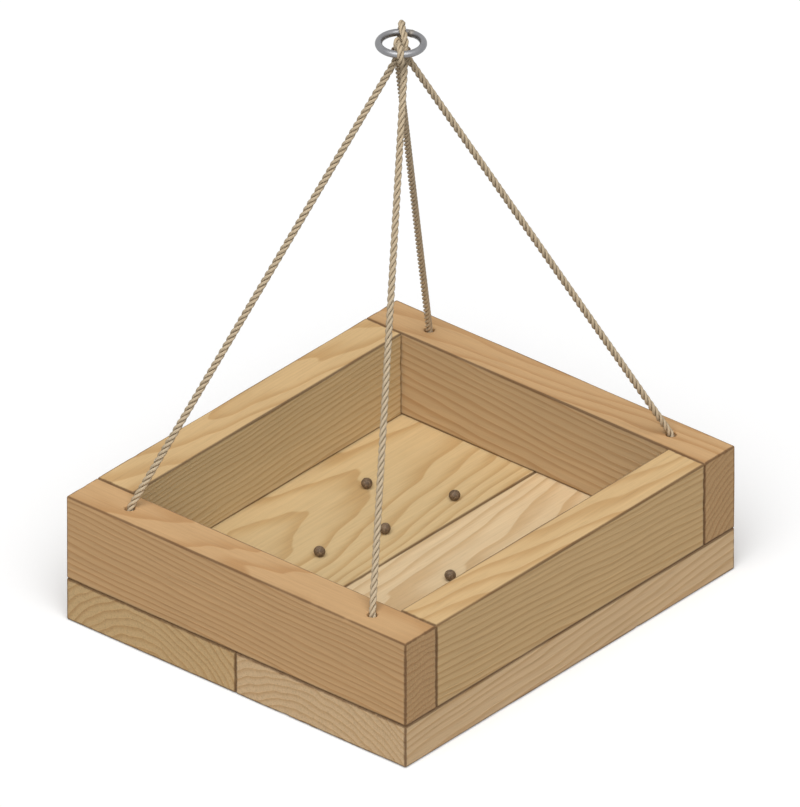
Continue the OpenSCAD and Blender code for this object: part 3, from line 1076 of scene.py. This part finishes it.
def seed_surface(rng):
    """A ball whose radius shrinks towards its poles and swells at the keel.

    radius = R (0.985 - 0.05 sin(latitude) squared + 0.02 cos(latitude) bell(keel)
    + 0.05 bell(upper pole)). The ball is flattened by SEED_FLAT and turned at
    random.
    """
    up = np.linspace(-np.pi / 2, np.pi / 2, SEED_ROWS)[:, None]
    round_it = 2 * np.pi * np.arange(SEED_COLUMNS) / SEED_COLUMNS
    keel = np.exp(-((np.sin(round_it) / 0.12) ** 2))
    radius = SEED_R * (0.985 - 0.05 * np.sin(up) ** 2 + 0.02 * keel * np.cos(up)
                       + 0.05 * np.exp(-(((up - np.pi / 2) / 0.22) ** 2)))
    around = np.stack([np.cos(up) * np.cos(round_it), SEED_FLAT * np.cos(up) * np.sin(round_it),
                       np.sin(up) * np.ones(SEED_COLUMNS)], axis=-1)
    points = (radius[..., None] * around).reshape(-1, 3)
    spin = np.linalg.qr(rng.normal(size=(3, 3)))[0]
    spin *= np.sign(np.linalg.det(spin))
    return points @ spin


rng = np.random.default_rng(SEED_DRAWS)
seed_parts = []
inner = np.array([TRAY_W - 2 * BOARD_T, TRAY_D - 2 * BOARD_T]) / 2
for share in SEED_SHARES:
    ball = seed_surface(rng)
    place = np.append(np.array(share) * inner, BOARD_T - ball[:, 2].min() - SEED_SINK)
    no_uv = np.zeros(((SEED_ROWS - 1) * SEED_COLUMNS * 4, 2))
    seed_parts.append((ball + place, [grid_faces(SEED_ROWS, SEED_COLUMNS)], no_uv))
seed_points, seed_faces, _ = gathered(seed_parts)
seeds = piece("hemp_seeds", seed_points, seed_faces, seed_finish())
weld = bmesh.new()
weld.from_mesh(seeds.data)
bmesh.ops.remove_doubles(weld, verts=weld.verts, dist=SAME_POINT)
bmesh.ops.recalc_face_normals(weld, faces=weld.faces)
weld.to_mesh(seeds.data)
weld.free()
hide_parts("seeds")

# %% [markdown]
# ## Screws and dowels
# These keep the solid model's own shapes. The screws are zinc plated, which is
# bright but cloudy; the dowels are plain beech, and sit inside the joints.

# %% Finishes for the hardware
ZINC_RELIEF = 0.02 * MM
BEECH_RELIEF = 0.05 * MM


def zinc_finish():
    """Cloudy zinc over steel, with fine turning marks."""
    finish = Finish("zinc_plate")
    at = finish.coordinates()
    cloud = finish.noise(at, 420, 3, 0.6)
    marks = finish.noise(at, 2600, 2, 0.5)
    base = finish.mix(cloud, colour(150, 147, 140), colour(196, 193, 184))
    return finish.shade(Base_Color=base, Metallic=1.0, Roughness=0.3 + cloud * 0.2,
                        Normal=finish.bump(marks, ZINC_RELIEF))


def dowel_finish():
    """Pale beech with short dark flecks along the grain."""
    finish = Finish("beech_dowel")
    x, y, z = finish.axes(finish.coordinates())
    fleck = finish.noise(finish.vector(x * 9, y, z * 9), 120, 3, 0.6)
    base = finish.mix(fleck.rise(0.35, 0.7), colour(214, 186, 148), colour(176, 142, 100))
    return finish.shade(Base_Color=base, Roughness=0.6,
                        Normal=finish.bump(fleck, BEECH_RELIEF))


zinc, beech = zinc_finish(), dowel_finish()
for name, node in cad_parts.items():
    if name.endswith("_screws") or name.endswith("_dowels"):
        node.data.materials.clear()
        node.data.materials.append(zinc if name.endswith("_screws") else beech)

# %% [markdown]
# ## Floor and light
# The drawing shades each face by its direction alone: tops at full strength,
# faces to the front at 0.73 of that and faces to the right at 0.61. One very
# wide soft lamp over the viewer's shoulder, about 55 degrees up, gives those
# shares, with a faint even sky. The boards' shadows then fall behind them,
# where the viewer does not see them, and only the contact shadow is left.
#
# The page is white. The floor is white paint with a trace of glow for the eye
# and for reflections, but grey for light that bounces on, so that it does not
# light the boards from below. The sky does the same.

# %% Stage and lamps
SKY = 0.2
SUN_TOP_SHARE = 0.8
SUN_HEIGHT = math.radians(55)
SUN_AZIMUTH = math.radians(36)
SUN_SPREAD = math.radians(60)
FLOOR_HALF = 6.0
FLOOR_GAP = 0.3 * MM
FLOOR_SEEN, FLOOR_GLOW, FLOOR_BOUNCE = 0.86, 0.16, 0.35


def seen(finish):
    """1 for rays from the camera, a mirror or glass, and 0 for light that bounces on."""
    camera_ray, glossy_ray, clear_ray = (
        finish.node("ShaderNodeLightPath", out=f"Is {kind} Ray")
        for kind in ("Camera", "Glossy", "Transmission"))
    return camera_ray.most(glossy_ray).most(clear_ray)


def floor_finish():
    """White with a trace of glow where it is seen, mid grey where it lights the object."""
    finish = Finish("white_floor")
    eye = seen(finish)
    base = finish.mix(eye, grey(FLOOR_BOUNCE), grey(FLOOR_SEEN))
    glow = finish.mix(eye, grey(0.0), grey(FLOOR_GLOW))
    return finish.shade(Base_Color=base, Roughness=0.9, Specular_IOR_Level=0.0,
                        Emission_Color=glow, Emission_Strength=1.0)


floor_mesh = bpy.data.meshes.new("floor")
corners = [(x * FLOOR_HALF, y * FLOOR_HALF, 0) for x, y in ((-1, -1), (1, -1), (1, 1), (-1, 1))]
floor_mesh.from_pydata(corners, [], [(0, 1, 2, 3)])
floor_mesh.materials.append(floor_finish())
floor = bpy.data.objects.new("floor", floor_mesh)
floor.location = (0, 0, -FLOOR_GAP)
bpy.context.scene.collection.objects.link(floor)

world = bpy.data.worlds.new("studio")
bpy.context.scene.world = world
sky = Finish("sky", world)
sky.shade(Color=grey(1.0), Strength=seen(sky) * (1 - SKY) + SKY)

lamp = bpy.data.lights.new("key", "SUN")
lamp.energy = SUN_TOP_SHARE * math.pi / math.sin(SUN_HEIGHT)
lamp.angle = SUN_SPREAD
sun = bpy.data.objects.new("key", lamp)
sun.rotation_euler = (math.pi / 2 - SUN_HEIGHT, 0, SUN_AZIMUTH)
bpy.context.scene.collection.objects.link(sun)
